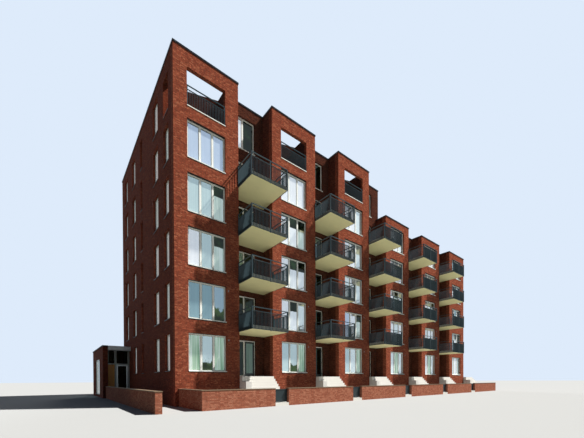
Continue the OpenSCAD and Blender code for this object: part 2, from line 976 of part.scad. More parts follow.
module canopy() {
    color("#a9aca8")
        translate([-wing_out + wing_wall, wing_y, wing_h - canopy_h])
            cube([wing_out - wing_wall, porch_d, canopy_h]);
}

// Frame round the ochre panel, the door and the two lights above them
module entrance_screen() {
    x = -wing_out + wing_wall;
    door_x0 = -entry_x - entry_w - leaf_gap;
    light_h = wing_top - frame_w - transom_z;
    color("#c9c4b6")
        upright(wing_y + porch_d, frame_t)
            difference() {
                area(x, 0, -x, wing_top);
                area(x, wing_floor, panel_w, transom_z - frame_w - wing_floor);
                area(x, transom_z, panel_w, light_h);
                area(door_x0, transom_z, entry_w + 2 * leaf_gap, light_h);
                area(door_x0, wing_floor, entry_w + 2 * leaf_gap, entry_h + 2 * leaf_gap);
            }
}

module entrance_panel() {
    color("#b98a2e")
        upright(wing_y + porch_d + frame_t - panel_t, panel_t)
            area(-wing_out + wing_wall, wing_floor, panel_w, transom_z - frame_w - wing_floor);
}

module entrance_door() {
    color("#8f9896")
        door_leaf(-entry_x - entry_w, wing_y + porch_d, wing_floor + leaf_gap, entry_w, entry_h);
}

// Puts the middle of the part's footprint on the origin
module placed() {
    translate([-mid_x, -mid_y, 0])
        children();
}

for (k = [0 : bays - 1])
    placed() tower_front(k);
placed() tower_side_walls();
placed() recess_walls(0, tall_bays - 1);  // recess_walls_tall
placed() recess_walls(tall_bays, bays - 1);  // recess_walls_low
placed() recess_bases();
placed() side_wall_front();
placed() side_wall_left();
placed() side_wall_right();
placed() rear_wall_tall();
placed() rear_wall_low();
placed() tall_end_wall();
placed() roof_terrace_walls();
placed() floor_slabs();
placed() roofs();
placed() roof_edge_cap();
placed() balcony_slabs();
for (k = [0 : bays - 2])
    placed() balcony_railings(k);
placed() roof_terrace_railings();
placed() front_frames();
placed() front_glass();
placed() balcony_doors();
placed() window_sills();
placed() side_frames();
placed() side_glass();
placed() rear_frames();
placed() rear_glass();
for (k = [0 : bays - 1])
    placed() terrace_door(k);
for (k = [0 : bays - 2])
    placed() garden_gate(k);
placed() door_hinges();
placed() terraces();
placed() garden_steps();
placed() step_cheeks();
placed() garden_walls();
placed() garden_copings();
placed() wing_walls();
placed() wing_base();
placed() wing_roof();
placed() canopy();
placed() entrance_screen();
placed() entrance_panel();
placed() entrance_door();
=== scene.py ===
import json
import math

import bmesh
import bpy
import numpy as np
from mathutils import Matrix, Vector


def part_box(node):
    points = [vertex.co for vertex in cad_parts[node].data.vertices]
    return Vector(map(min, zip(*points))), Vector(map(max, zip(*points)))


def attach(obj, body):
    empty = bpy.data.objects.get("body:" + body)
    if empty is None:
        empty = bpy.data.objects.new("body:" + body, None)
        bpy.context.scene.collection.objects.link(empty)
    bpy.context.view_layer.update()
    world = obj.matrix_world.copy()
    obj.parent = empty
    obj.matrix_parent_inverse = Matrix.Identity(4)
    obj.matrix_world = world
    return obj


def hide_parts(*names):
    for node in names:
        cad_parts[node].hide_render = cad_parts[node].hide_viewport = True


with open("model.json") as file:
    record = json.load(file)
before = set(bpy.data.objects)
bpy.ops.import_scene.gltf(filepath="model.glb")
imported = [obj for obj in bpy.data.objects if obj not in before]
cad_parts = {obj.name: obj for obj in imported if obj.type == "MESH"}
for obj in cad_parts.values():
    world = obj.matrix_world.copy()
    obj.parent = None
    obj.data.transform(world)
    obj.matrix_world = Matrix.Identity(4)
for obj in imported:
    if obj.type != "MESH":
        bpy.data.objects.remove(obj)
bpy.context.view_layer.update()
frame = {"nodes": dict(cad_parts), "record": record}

# Lengths are metres, except where a comment names another unit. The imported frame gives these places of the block.
FIRST_LOW, FIRST_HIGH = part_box("tower_front_1")
SECOND_LOW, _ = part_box("tower_front_2")
_, RIGHT_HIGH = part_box("side_wall_right")
_, REAR_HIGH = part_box("rear_wall_low")
LEFT, FRONT = FIRST_LOW.x, FIRST_LOW.y
RIGHT, REAR = RIGHT_HIGH.x, REAR_HIGH.y
BAY = SECOND_LOW.x - FIRST_LOW.x
TOWER = FIRST_HIGH.x - FIRST_LOW.x

# Sizes of the part that the glass and the trim follow
BAYS, TALL_BAYS, LOW_STOREYS, TALL_STOREYS = 6, 3, 5, 6
# The lowest floor above the pavement, one storey, and the foot of a window above its floor
FLOOR_1, STOREY, SILL = 1.64, 2.9, 0.25
# A tower window's place from the tower's left edge, its width and height, and how deep all windows stand in the wall
WINDOW_X, WINDOW_W, WINDOW_H, REVEAL = 0.735, 2.25, 2.11, 0.14
# Bars round a window, and bars between its lights
FRAME_W, MULLION_W = 0.07, 0.105
# Depth of a recess, and in it the place of the glazing, its fixed light, its whole width and a door's height
RECESS, DOOR_X, LIGHT_W, DOOR_W, DOOR_H = 1.11, 0.1, 0.88, 1.738, 2.36
# A door leaf, the bars round its glass and the gap round the leaf
LEAF_W, LEAF_H, LEAF_BAR, LEAF_GAP = 0.72, 2.292, 0.095, 0.009
LEAF_X = TOWER + DOOR_X + LIGHT_W + FRAME_W
# Window columns of the side walls, as start and width from the tower fronts
SIDE_COLUMNS = ((0.86, 0.92), (2.94, 1.11), (6.9, 0.63), (9.2, 1.11), (12.16, 1.11))
# The entrance wing: how far it stands out, its wall, its floor and the top of its screen
WING_OUT, WING_WALL, WING_FLOOR, SCREEN_TOP = 1.97, 0.35, 0.06, 4.09
WING_X = LEFT - WING_OUT
# The wing's window: start from the tower fronts, width, foot and height
WING_WINDOW_Y, WING_WINDOW_W, WING_WINDOW_Z, WING_WINDOW_H = 13.7, 2.95, 0.2, 3.05
# The screen: its depth behind the tower fronts, the foot of its upper lights, the width of the one over the panel,
# and the door's gap to the block, width and height
PORCH_Y, TRANSOM_Z, PANEL_W, ENTRY_X, ENTRY_W, ENTRY_H = 12.05, 2.79, 0.538, 0.115, 0.835, 2.64

# Sizes of what only this scene has
# Trim starts this deep in what carries it, so that no slit shows behind it
SEAT = 0.002
# Lever handles: height on the leaf, reach, length, radii of the bar and of its bend, and the plate behind them
HANDLE_Z, HANDLE_OUT, HANDLE_L, HANDLE_R, HANDLE_BEND = 1.0, 0.05, 0.12, 0.009, 0.02
ROSE_W, ROSE_H = 0.04, 0.14
# Lintel angles: how far back from the brick face they start, and how far they enter the brick at both ends
LINTEL_BACK, LINTEL_END = 0.006, 0.001
# Dark strips under the sills, a painted shadow of the sills: how far below the sill they reach, and the gap that
# they keep to it
SILL_SHADOW_H, SILL_SHADOW_GAP = 0.05, 0.001
# Vents: place from the tower's left edge and above the floor, width, height and border, and the storeys with one
VENT_X, VENT_Z, VENT_W, VENT_H, VENT_BORDER, VENT_STOREYS = 3.095, 2.07, 0.05, 0.1, 0.008, (1, 2)
# Their slats: number, how far before the brick they start, foot of the first above the vent's, height and pitch
SLATS, SLAT_OUT, SLAT_Z, SLAT_H, SLAT_PITCH = 3, 0.016, 0.013, 0.012, 0.026

# Profiles of what lines a light, as how far each row lies inside the light's edge and how deep behind the frame's
# face: the glass stands inside the frame, a sash slopes down to it, and a rubber line seals the sash
PANE = ((0.0025, 0.028), (0.001, 0.0295), (0.001, 0.0505), (0.0025, 0.052))
SASH = ((-0.002, 0.005), (0.004, 0.005), (0.010, 0.013), (0.018, 0.016), (0.022, 0.0275), (-0.002, 0.0275))
RUBBER = ((0.020, 0.022), (0.026, 0.026), (0.026, 0.0285), (0.020, 0.0285))
# The same for a leaf, whose glass lies in the middle of its thickness and has a bead on both sides
LEAF_PANE = ((-0.001, 0.015), (-0.001, 0.045))
LEAF_BEAD = ((-0.001, 0.003), (0.014, 0.006), (0.018, 0.0155), (-0.001, 0.0155))
LEAF_BEAD_IN = ((-0.001, 0.0445), (0.018, 0.0445), (0.014, 0.054), (-0.001, 0.057))
# Profiles of the trim: flat bodies with a slightly pulled-in edge, and the vent's face sunk inside its border
SILL_SHADOW_PROFILE = ((0.0, 0.0), (0.0, -0.005), (0.002, -0.007))
LINTEL = ((0.0, -0.002), (0.0, 0.004), (0.002, 0.006))
ROSE = ((0.0, 0.0), (0.0, -0.008), (0.004, -0.011))
VENT = ((0.0, 0.0), (0.0, -0.016), (0.003, -0.02), (0.007, -0.02), (VENT_BORDER, -0.014))
SLAT = ((0.0, 0.0), (0.002, -0.006))

# What hangs behind a pane: the tone of the nets, from moss over slate to white; the share that is left open at the
# top, where the dark room is painted shade, or, below zero, the share at the bottom that holds a painted reflection
# of trees; and the share of green cloth
DRESSING = {
    "slate": (0.12, 0.0, 0.0), "blue": (0.33, 0.0, 0.0), "soft": (0.55, 0.0, 0.0), "pale": (0.8, 0.0, 0.0),
    "white": (1.0, 0.0, 0.0), "green": (0.7, 0.0, 1.0), "half": (0.95, 0.34, 0.0), "mint": (0.85, 0.3, 0.5),
    "sage": (0.0, 0.0, 0.1), "dark": (0.0, 1.0, 0.0), "park": (0.18, -0.42, 0.0), "grove": (0.6, -0.3, 0.0),
}
# The dressings in the windows of each tower, from the lowest storey up and from left to right
TOWER_PLANS = (
    (("green", "grove", "green"), ("slate", "slate", "park"), ("white", "soft", "mint"), ("soft", "soft", "mint"),
     ("blue", "blue", "blue")),
    (("soft", "grove", "green"), ("white", "half", "pale"), ("white", "half", "half"), ("white", "half", "mint"),
     ("white", "white", "white")),
    (("soft", "pale", "green"), ("blue", "white", "mint"), ("pale", "white", "pale"), ("white", "white", "pale"),
     ("white", "white", "pale")),
    (("pale", "green", "pale"), ("white", "pale", "white"), ("white", "mint", "pale"), ("white", "white", "white"),
     ("white", "white", "pale")),
    (("white", "green", "pale"), ("pale", "white", "white"), ("white", "pale", "mint"), ("white", "white", "pale"),
     ("pale", "white", "white")),
    (("pale", "white", "soft"), ("slate", "half", "dark"), ("dark", "slate", "half"), ("half", "dark", "slate"),
     ("slate", "dark", "pale")),
)
# The dressings that take turns in the side walls, in the rear wall and in the balcony doors of one recess
SIDE_PLAN = ("white", "white", "pale")
REAR_PLAN = ("pale", "soft", "white", "green", "half", "blue", "pale", "dark", "white")
BALCONY_PLAN = ("dark", "dark", "slate", "dark")

# Camera: place, heading from +X towards +Y, pitch and roll, all solved from the facade's bays
CAMERA_PLACE = (LEFT - 5.075, FRONT - 16.336, 1.411)
HEADING = math.radians(51.592)
PITCH = math.radians(-0.4643)
ROLL = math.radians(0.2607)
# In pixels: the picture's width, the focal length, and how far the picture's middle lies above the lens's axis
IMAGE_W, FOCAL_PX, RISE_PX = 584, 302.03, 163.15
# Width of the sensor in millimetres, and how far the camera sees
SENSOR, SIGHT = 36.0, 500.0

# Lamps: direction towards each as turn from the street side towards +X and as height, both in degrees; strength;
# width of the disc in degrees, which softens the shadows; and colour
KEY_LIGHT = (59.6, 52.0, 7.4, 1.5, "#FFFBF4")
REAR_LIGHT = (158.0, 25.0, 0.8, 15.0, "#FFFFFF")
# The sky as it is seen and mirrored, and the weaker sky that lights the block
SKY_SEEN, SKY_LIGHT, SKY_STRENGTH = "#DEEBFB", "#B9D2F4", 0.1
# The floor as it is seen, and as it throws light back: less beside and behind the block than on the paved side
FLOOR_SEEN, FLOOR_LIGHT, FLOOR_DULL = "#ABADAE", "#A3A49F", "#62645C"
# Rings and spokes of the floor's disc, its radius, and how far from the block's left side it has become dull
FLOOR_RINGS, FLOOR_SPOKES, FLOOR_REACH, FLOOR_FADE = 12, 48, 260.0, 4.0

# Brickwork: a stretcher, a course with its joint, and a joint
STRETCHER, COURSE, JOINT = 0.210, 0.062, 0.012
MORTAR = "#604A3F"
CREAM = "#FAFDF9"
# Share that the tone of its batch has in a brick's colour
BATCH_SHARE = 0.3
# Nearly all of a noise lies between these two values
NOISE_LOW, NOISE_HIGH = 0.3, 0.7
# Scales of the noises are patches to the metre. Batches of brick change over about 770 mm and sand spots are 67 mm.
BATCH_SCALE, SAND_SCALE = 1.3, 15.0
# Clouds are 670 mm wide in paint and coatings, 330 mm in what is laid in slabs or rolls, and 200 mm in raw concrete
PAINT_CLOUD, LAID_CLOUD, RAW_CLOUD = 1.5, 3.0, 5.0
# Grit on brick and grain in concrete and felt are 1 to 3 mm, too fine to show, so they are drawn at 17 and 11 mm
GRIT_SCALE, GRAIN_SCALE = 60.0, 90.0
# Folds of the cloth are 60 to 120 mm wide and 40 times as high
FOLD_SCALE = (11.0, 0.28, 1.0)
# Slack of a cloth's upper edge 400 mm, things in the room's painted shade 600 mm, tops of the painted tree
# reflection 290 mm, waves of a pane 900 mm
SLACK_SCALE, ROOM_SCALE, CROWN_SCALE, WAVE_SCALE = 2.5, 1.7, 3.5, 1.1


def linear(code):
    """Linear RGBA of an sRGB hex colour."""
    part = np.array([int(code[i:i + 2], 16) for i in (1, 3, 5)]) / 255.0
    value = np.where(part <= 0.04045, part / 12.92, ((part + 0.055) / 1.055) ** 2.4)
    return (*value.tolist(), 1.0)


def add(tree, kind, inputs=None, stops=(), **settings):
    """Adds one node: settings are its properties, inputs are values or the sockets that feed them, and stops are the
    places and hex colours along a colour ramp. A Mix node's inputs go by number: 0 is its factor, 2 and 3 are its two
    numbers, and 6 and 7 its two colours. A Map Range node's are 0 for the value, 1 and 2 from, and 3 and 4 to."""
    node = tree.nodes.new(kind)
    for key, value in settings.items():
        setattr(node, key, value)
    if stops:
        band = node.color_ramp.elements
        while len(band) < len(stops):
            band.new(0.5)
        for element, (place, code) in zip(band, stops):
            element.position = place
            element.color = linear(code)
    for key, value in (inputs or {}).items():
        if isinstance(value, bpy.types.NodeSocket):
            tree.links.new(value, node.inputs[key])
        else:
            node.inputs[key].default_value = value
    return node


def material(name):
    """An empty node material and its tree, with a Principled shader already on the output."""
    made = bpy.data.materials.new(name)
    made.use_nodes = True
    tree = made.node_tree
    tree.nodes.clear()
    shader = add(tree, "ShaderNodeBsdfPrincipled")
    add(tree, "ShaderNodeOutputMaterial", {"Surface": shader.outputs["BSDF"]})
    return made, tree, shader


def coat(tree, shader, colour, height=None, depth=0.0, strength=0.0, **values):
    """Gives the shader its colour, the relief of a height pattern that is depth metres deep, and values that are the
    same all over, which are set on the shader's own sockets."""
    tree.links.new(colour, shader.inputs["Base Color"])
    if height is not None:
        bump = add(tree, "ShaderNodeBump", {"Height": height, "Distance": depth, "Strength": strength})
        tree.links.new(bump.outputs["Normal"], shader.inputs["Normal"])
    for key, value in values.items():
        socket = "Specular IOR Level" if key == "specular" else key.replace("_", " ").title()
        shader.inputs[socket].default_value = value


def wall_coordinates(tree):
    """The object's coordinates, and flat ones that run along a wall and up it. Which of X, Y and Z they take is chosen
    by which way the face looks."""
    place = add(tree, "ShaderNodeTexCoord").outputs["Object"]
    part = add(tree, "ShaderNodeSeparateXYZ", {"Vector": place}).outputs
    normal = add(tree, "ShaderNodeNewGeometry").outputs["True Normal"]
    facing = add(tree, "ShaderNodeSeparateXYZ", {"Vector": normal}).outputs
    side = add(tree, "ShaderNodeMath", {0: facing["X"]}, operation="ABSOLUTE").outputs[0]
    level = add(tree, "ShaderNodeMath", {0: facing["Z"]}, operation="ABSOLUTE").outputs[0]
    is_side = add(tree, "ShaderNodeMath", {0: side, 1: 0.5}, operation="GREATER_THAN").outputs[0]
    is_level = add(tree, "ShaderNodeMath", {0: level, 1: 0.5}, operation="GREATER_THAN").outputs[0]
    along = add(tree, "ShaderNodeMix", {0: is_side, 2: part["X"], 3: part["Y"]}).outputs[0]
    up = add(tree, "ShaderNodeMix", {0: is_level, 2: part["Z"], 3: part["Y"]}).outputs[0]
    flat = add(tree, "ShaderNodeCombineXYZ", {"X": along, "Y": up}).outputs["Vector"]
    return place, flat


def clouded(tree, place, code, change, cloud):
    """One colour made darker and lighter by a share, in soft clouds, of which there are so many to the metre."""
    noise = add(tree, "ShaderNodeTexNoise", {"Vector": place, "Scale": cloud, "Detail": 5.0}).outputs["Fac"]
    colour = np.array(linear(code)[:3])
    low = (*(colour * (1 - change)).tolist(), 1.0)
    high = (*np.clip(colour * (1 + change), 0, 1).tolist(), 1.0)
    return add(tree, "ShaderNodeMix", {0: noise, 6: low, 7: high}, data_type="RGBA").outputs[2]


def moulded_brick(name, stops, batch_low, batch_high, sand_change=0.28):
    """Fired clay brick in cross bond: courses of stretchers and of headers half as long, each brick with its own red
    between dark and pale firing, mixed with the tone of its batch and spotted with sand. The joints are raked out
    and filled with a brown grey mortar."""
    made, tree, shader = material(name)
    place, flat = wall_coordinates(tree)
    brick = add(tree, "ShaderNodeTexBrick", {
        "Vector": flat, "Color1": (0, 0, 0, 1), "Color2": (1, 1, 1, 1), "Mortar": (0.5, 0.5, 0.5, 1), "Scale": 1.0,
        "Mortar Size": JOINT / 2, "Mortar Smooth": 0.2, "Bias": 0.0, "Brick Width": STRETCHER + JOINT,
        "Row Height": COURSE}, offset=0.5, squash=0.5, squash_frequency=2).outputs
    each = add(tree, "ShaderNodeValToRGB", {"Fac": brick["Color"]}, stops).outputs["Color"]
    batch = add(tree, "ShaderNodeTexNoise", {"Vector": place, "Scale": BATCH_SCALE, "Detail": 4.0}).outputs["Fac"]
    tone = add(tree, "ShaderNodeValToRGB", {"Fac": batch}, [
        (NOISE_LOW, batch_low), (NOISE_HIGH, batch_high)]).outputs["Color"]
    clay = add(tree, "ShaderNodeMix", {0: BATCH_SHARE, 6: each, 7: tone}, data_type="RGBA").outputs[2]
    sand = add(tree, "ShaderNodeTexNoise", {"Vector": place, "Scale": SAND_SCALE, "Detail": 1.0}).outputs["Fac"]
    spots = add(tree, "ShaderNodeMapRange", {
        0: sand, 1: NOISE_LOW, 2: NOISE_HIGH, 3: 1 - sand_change, 4: 1 + sand_change}).outputs[0]
    clay = add(tree, "ShaderNodeVectorMath", {0: clay, "Scale": spots}, operation="SCALE").outputs[0]
    colour = add(tree, "ShaderNodeMix", {0: brick["Fac"], 6: clay, 7: linear(MORTAR)}, data_type="RGBA").outputs[2]
    grit = add(tree, "ShaderNodeTexNoise", {"Vector": place, "Scale": GRIT_SCALE, "Detail": 2.0}).outputs["Fac"]
    height = add(tree, "ShaderNodeMath", {0: brick["Fac"], 1: -1.0, 2: grit}, operation="MULTIPLY_ADD").outputs[0]
    coat(tree, shader, colour, height, depth=0.006, strength=0.5, roughness=0.92, specular=0.12)
    return made


def plain_finish(name, code, roughness, specular=0.5, metallic=0.0, change=0.05, grain=0.0):
    """A painted, cast or coated surface: one clouded colour and, where it is cast, a grain of a real depth."""
    made, tree, shader = material(name)
    place = add(tree, "ShaderNodeTexCoord").outputs["Object"]
    height = None
    if grain:
        height = add(tree, "ShaderNodeTexNoise", {"Vector": place, "Scale": GRAIN_SCALE, "Detail": 3.0}).outputs["Fac"]
    coat(tree, shader, clouded(tree, place, code, change, PAINT_CLOUD), height, depth=grain, strength=0.4,
         roughness=roughness, specular=specular, metallic=metallic)
    return made


def jointed_finish(name, code, joint, length, course, gap, roughness, change=0.08, grain=0.001):
    """Slabs or rolls laid side by side: a clouded colour crossed by open joints a real length and course apart, which
    lie three times as deep as the grain."""
    made, tree, shader = material(name)
    place, flat = wall_coordinates(tree)
    lines = add(tree, "ShaderNodeTexBrick", {
        "Vector": flat, "Scale": 1.0, "Mortar Size": gap / 2, "Mortar Smooth": 0.1, "Brick Width": length,
        "Row Height": course}, offset=0.0).outputs["Fac"]
    tone = clouded(tree, place, code, change, LAID_CLOUD)
    colour = add(tree, "ShaderNodeMix", {0: lines, 6: tone, 7: linear(joint)}, data_type="RGBA").outputs[2]
    fine = add(tree, "ShaderNodeTexNoise", {"Vector": place, "Scale": GRAIN_SCALE, "Detail": 3.0}).outputs["Fac"]
    height = add(tree, "ShaderNodeMath", {0: lines, 1: -3.0, 2: fine}, operation="MULTIPLY_ADD").outputs[0]
    coat(tree, shader, colour, height, depth=grain, strength=0.5, roughness=roughness, specular=0.25)
    return made


def slab_concrete():
    """Cast floor slabs, matt: blotched raw grey edges and tops, and evenly painted pale yellow undersides, told apart
    by which way a face looks."""
    made, tree, shader = material("cast_slab_with_painted_soffit")
    place = add(tree, "ShaderNodeTexCoord").outputs["Object"]
    normal = add(tree, "ShaderNodeNewGeometry").outputs["True Normal"]
    facing = add(tree, "ShaderNodeSeparateXYZ", {"Vector": normal}).outputs["Z"]
    below = add(tree, "ShaderNodeMath", {0: facing, 1: -0.5}, operation="LESS_THAN").outputs[0]
    raw = clouded(tree, place, "#C9C7BC", 0.2, RAW_CLOUD)
    paint = clouded(tree, place, "#E6E3B2", 0.08, PAINT_CLOUD)
    colour = add(tree, "ShaderNodeMix", {0: below, 6: raw, 7: paint}, data_type="RGBA").outputs[2]
    fine = add(tree, "ShaderNodeTexNoise", {"Vector": place, "Scale": GRAIN_SCALE, "Detail": 3.0}).outputs["Fac"]
    coat(tree, shader, colour, fine, depth=0.001, strength=0.4, roughness=0.85, specular=0.2)
    return made


def sill_metal():
    """Coated sills, even and satin: cream on the street side, the right and the rear, and dark on the left, where
    the dark is painted shade.
    """
    made, tree, shader = material("coated_sills")
    place = add(tree, "ShaderNodeTexCoord").outputs["Object"]
    along = add(tree, "ShaderNodeSeparateXYZ", {"Vector": place}).outputs["X"]
    # Sills beside the block's left side are coloured dark: painted shade of that side
    beside = add(tree, "ShaderNodeMath", {0: along, 1: LEFT + WINDOW_X / 2}, operation="LESS_THAN").outputs[0]
    colour = add(tree, "ShaderNodeMix", {0: beside, 6: linear(CREAM), 7: linear("#332C28")}, data_type="RGBA")
    coat(tree, shader, colour.outputs[2], roughness=0.5, specular=0.3)
    return made


def hung_cloth(tree, flat, tone, green_share):
    """Nets whose colour follows their tone, mixed with a share of green cloth. A noise stretched in height makes the
    folds as painted shade and light: it picks the green's shade, and shades nets and cloth alike."""
    nets = add(tree, "ShaderNodeValToRGB", {"Fac": tone}, [
        (0.0, "#4E6050"), (0.12, "#8FAEB4"), (0.33, "#CBDAEC"), (0.55, "#C9DEDD"), (0.8, "#EDF8F6"),
        (1.0, "#FCFEFE")]).outputs["Color"]
    stretch = add(tree, "ShaderNodeVectorMath", {0: flat, 1: FOLD_SCALE}, operation="MULTIPLY").outputs[0]
    folds = add(tree, "ShaderNodeTexNoise", {"Vector": stretch, "Scale": 1.0, "Detail": 2.0}).outputs["Fac"]
    green = add(tree, "ShaderNodeValToRGB", {"Fac": folds}, [
        (0.35, "#86AF8A"), (0.5, "#C0DABB"), (0.65, "#EEF6EA")]).outputs["Color"]
    cloth = add(tree, "ShaderNodeMix", {0: green_share, 6: nets, 7: green}, data_type="RGBA").outputs[2]
    # Painted shade and light of the folds on nets and cloth
    shade = add(tree, "ShaderNodeMapRange", {0: folds, 1: NOISE_LOW, 2: NOISE_HIGH, 3: 0.93, 4: 1.03}).outputs[0]
    return add(tree, "ShaderNodeVectorMath", {0: cloth, "Scale": shade}, operation="SCALE").outputs[0]


def double_glazing(name, painted_glow=0.0):
    """Glass over drawn nets: what hangs behind each pane comes from its dressing, the share that is left open at the
    top shows the dark room as painted shade, a painted reflection of trees lies at the bottom, and the glass mirrors
    the sky. With a strength given, the nets glow weakly, which is painted light."""
    made, tree, shader = material(name)
    place, flat = wall_coordinates(tree)
    dressing = add(tree, "ShaderNodeAttribute", attribute_name="dressing").outputs["Vector"]
    part = add(tree, "ShaderNodeSeparateXYZ", {"Vector": dressing}).outputs
    up = add(tree, "ShaderNodeAttribute", attribute_name="height_share").outputs["Fac"]
    cloth = hung_cloth(tree, flat, part["X"], part["Z"])
    # The cloth ends where its open share and the height in the pane make one, uneven by a fiftieth of the height
    slack = add(tree, "ShaderNodeTexNoise", {"Vector": place, "Scale": SLACK_SCALE, "Detail": 1.0}).outputs["Fac"]
    edge = add(tree, "ShaderNodeMath", {0: slack, 1: 0.05, 2: up}, operation="MULTIPLY_ADD").outputs[0]
    height = add(tree, "ShaderNodeMath", {0: edge, 1: part["Y"]}, operation="ADD").outputs[0]
    is_open = add(tree, "ShaderNodeMapRange", {0: height, 1: 1.02, 2: 1.04}).outputs[0]
    depth = add(tree, "ShaderNodeTexNoise", {"Vector": place, "Scale": ROOM_SCALE, "Detail": 4.0}).outputs["Fac"]
    # The open share shows the dark room: painted shade of a room that gets little light
    room_painted_shade = add(tree, "ShaderNodeValToRGB", {"Fac": depth}, [
        (0.35, "#080F08"), (0.55, "#15260F"), (0.7, "#2F4A26")]).outputs["Color"]
    colour = add(tree, "ShaderNodeMix", {0: is_open, 6: cloth, 7: room_painted_shade}, data_type="RGBA").outputs[2]
    # The painted tree reflection lies where the height in the pane is less than its share, times 0.7 to 1.3 because
    # tree tops are uneven
    crown = add(tree, "ShaderNodeTexNoise", {"Vector": place, "Scale": CROWN_SCALE, "Detail": 3.0}).outputs["Fac"]
    uneven = add(tree, "ShaderNodeMath", {0: crown, 1: 1.6, 2: 0.2}, operation="MULTIPLY_ADD").outputs[0]
    tops = add(tree, "ShaderNodeMath", {0: uneven, 1: part["Y"], 2: up}, operation="MULTIPLY_ADD").outputs[0]
    tree_reflection_share = add(tree, "ShaderNodeMapRange", {0: tops, 1: 0.0, 2: -0.06}).outputs[0]
    leaves = add(tree, "ShaderNodeValToRGB", {"Fac": depth}, [(0.35, "#1A2612"), (0.6, "#465C30")]).outputs["Color"]
    colour = add(tree, "ShaderNodeMix", {0: tree_reflection_share, 6: colour, 7: leaves}, data_type="RGBA").outputs[2]
    # A weak glow of the nets: painted light, as a pane is no lamp
    if painted_glow:
        tree.links.new(colour, shader.inputs["Emission Color"])
    # Panes are never quite flat, so what they mirror bends slightly
    waves = add(tree, "ShaderNodeTexNoise", {"Vector": place, "Scale": WAVE_SCALE, "Detail": 1.0}).outputs["Fac"]
    coat(tree, shader, colour, waves, depth=0.01, strength=0.1, roughness=0.03, specular=0.5, metallic=0.6,
         coat_weight=0.25, coat_roughness=0.02, emission_strength=painted_glow)
    return made


# Moulded facing brick: matt, sanded, no two alike. The street front shows its own colour; the copies below are paler
# or darker as painted light and shade.
BRICK = moulded_brick("moulded_clay_brick", [(0.0, "#6A3024"), (0.3, "#86402E"), (0.7, "#974D37"), (1.0, "#B46E51")],
                      "#8A4532", "#944E39")
# The garden walls take a paler copy of the brick, painted light that the pavement throws back on them
GARDEN_LIT_BRICK = moulded_brick("brick_paled_for_painted_bounce_light", [(0.0, "#884C3B"), (0.4, "#9E5D48"), (1.0, "#BA7F67")],
                           "#9A5A45", "#AA6A54", sand_change=0.12)
# The side walls and the wing take a darker copy of the brick, which paints the shade on them
SIDE_WALL_SHADE_BRICK = moulded_brick("brick_darkened_for_painted_side_shade",
                           [(0.0, "#521F14"), (0.3, "#692A1A"), (0.7, "#773321"), (1.0, "#8E4C33")],
                           "#6B2D1D", "#753523")
# The walls behind the balconies and roof terraces take a still darker copy of the same brick, painted shade of the
# recesses
RECESS_SHADE_BRICK = moulded_brick("brick_darkened_for_painted_recess_shade", [(0.0, "#2C120E"), (0.4, "#462018"), (1.0, "#633424")],
                           "#432018", "#4E281D")
# The sides of the towers take a darker copy, between those of the side walls and the recesses, painted shade on them
TOWER_SIDE_SHADE_BRICK = moulded_brick("brick_darkened_for_painted_tower_side_shade", [(0.0, "#3E1911"), (0.4, "#58261A"), (1.0, "#78422D")],
                           "#54241A", "#602D20")
FINISHES = {
    "brick": BRICK,
    # Float glass in double panes: a sharp mirror of the sky over what hangs behind it
    "window_glass": double_glazing("double_glazing_over_nets"),
    # Powder coat on window frames: even and satin, nearly white
    "cream_frame": plain_finish("cream_powder_coat", CREAM, roughness=0.4, change=0.01),
    # Gloss paint on the leaves: almost black, with a green cast and soft highlights
    "dark_green_leaf": plain_finish("dark_green_gloss_paint", "#18241C", roughness=0.3, change=0.04),
    # Powder coat on the railings' flat bars: blue grey with a dull gloss
    "dark_steel": plain_finish("blue_grey_powder_coat", "#37474D", roughness=0.4, specular=0.3),
    # Cast white concrete of the terraces and steps: matt with a fine grain
    "white_concrete": plain_finish("white_cast_concrete", "#DBDAD6", roughness=0.85, specular=0.2, change=0.04,
                                   grain=0.0015),
    "pale_concrete": slab_concrete(),
    # Cast stone copings a metre long with open joints of 8 mm: brown and dull
    "stone_coping": jointed_finish("brown_cast_stone", "#7C6A58", "#3A322B", length=1.0, course=50.0, gap=0.008,
                                   roughness=0.8),
    # Bitumen felt in rolls a metre wide: slate grains, with a dark seam of 20 mm
    "roof_felt": jointed_finish("bitumen_felt_in_rolls", "#4A4B4E", "#333437", length=50.0, course=1.0, gap=0.02,
                                roughness=0.9, change=0.15, grain=0.003),
    # Coated aluminium strips on the roof edges: a thin black line from the street
    "dark_cap": plain_finish("black_coated_aluminium", "#131416", roughness=0.5, specular=0.3),
    # Coated panel of the canopy: smooth, pale grey
    "grey_panel": plain_finish("grey_coated_panel", "#EDF1F1", roughness=0.5, change=0.03),
    # Enamelled panel beside the entrance: one deep even ochre
    "ochre_panel": plain_finish("ochre_enamel_panel", "#B87A08", roughness=0.4, change=0.03),
    # Anodised aluminium of the entrance door and small fittings: soft metal gloss
    "grey_aluminium": plain_finish("anodised_aluminium", "#9AA09E", roughness=0.35, metallic=1.0, change=0.03),
}
# Paint on the porch screen: grey with a green cast, satin
PORCH_GREY = plain_finish("grey_green_porch_paint", "#A3ABA4", roughness=0.4, change=0.03)
# Powder coat on the gates, darker than the railings
GATE_STEEL = plain_finish("dark_gate_powder_coat", "#2B3538", roughness=0.4, specular=0.3)
# Rubber in the sashes: a thin black line round each pane
RUBBER_BLACK = plain_finish("black_rubber_seal", "#101112", roughness=0.7, specular=0.3, change=0.1)
# Coated lead over and under the tower windows, brown black and dull: its darkness paints the shade under the
# reveal heads and the shadow under the sills
SHADE_LEAD = plain_finish("brown_coated_lead_as_painted_shade", "#1E1612", roughness=0.6, specular=0.3, change=0.15)
# Powder coat of the sashes, a little greener and darker than the frames; the darker tone partly paints the shade on
# the sashes' returns
SASH_GREY = plain_finish("green_grey_powder_coat", "#C4CBC4", roughness=0.4, change=0.04)
# The windows of the left side wall show bright nets between the dark reveals: the nets glow weakly, which is painted
# light
LEFT_GLOWING_GLASS = double_glazing("side_glazing_over_nets_with_painted_glow", painted_glow=0.3)
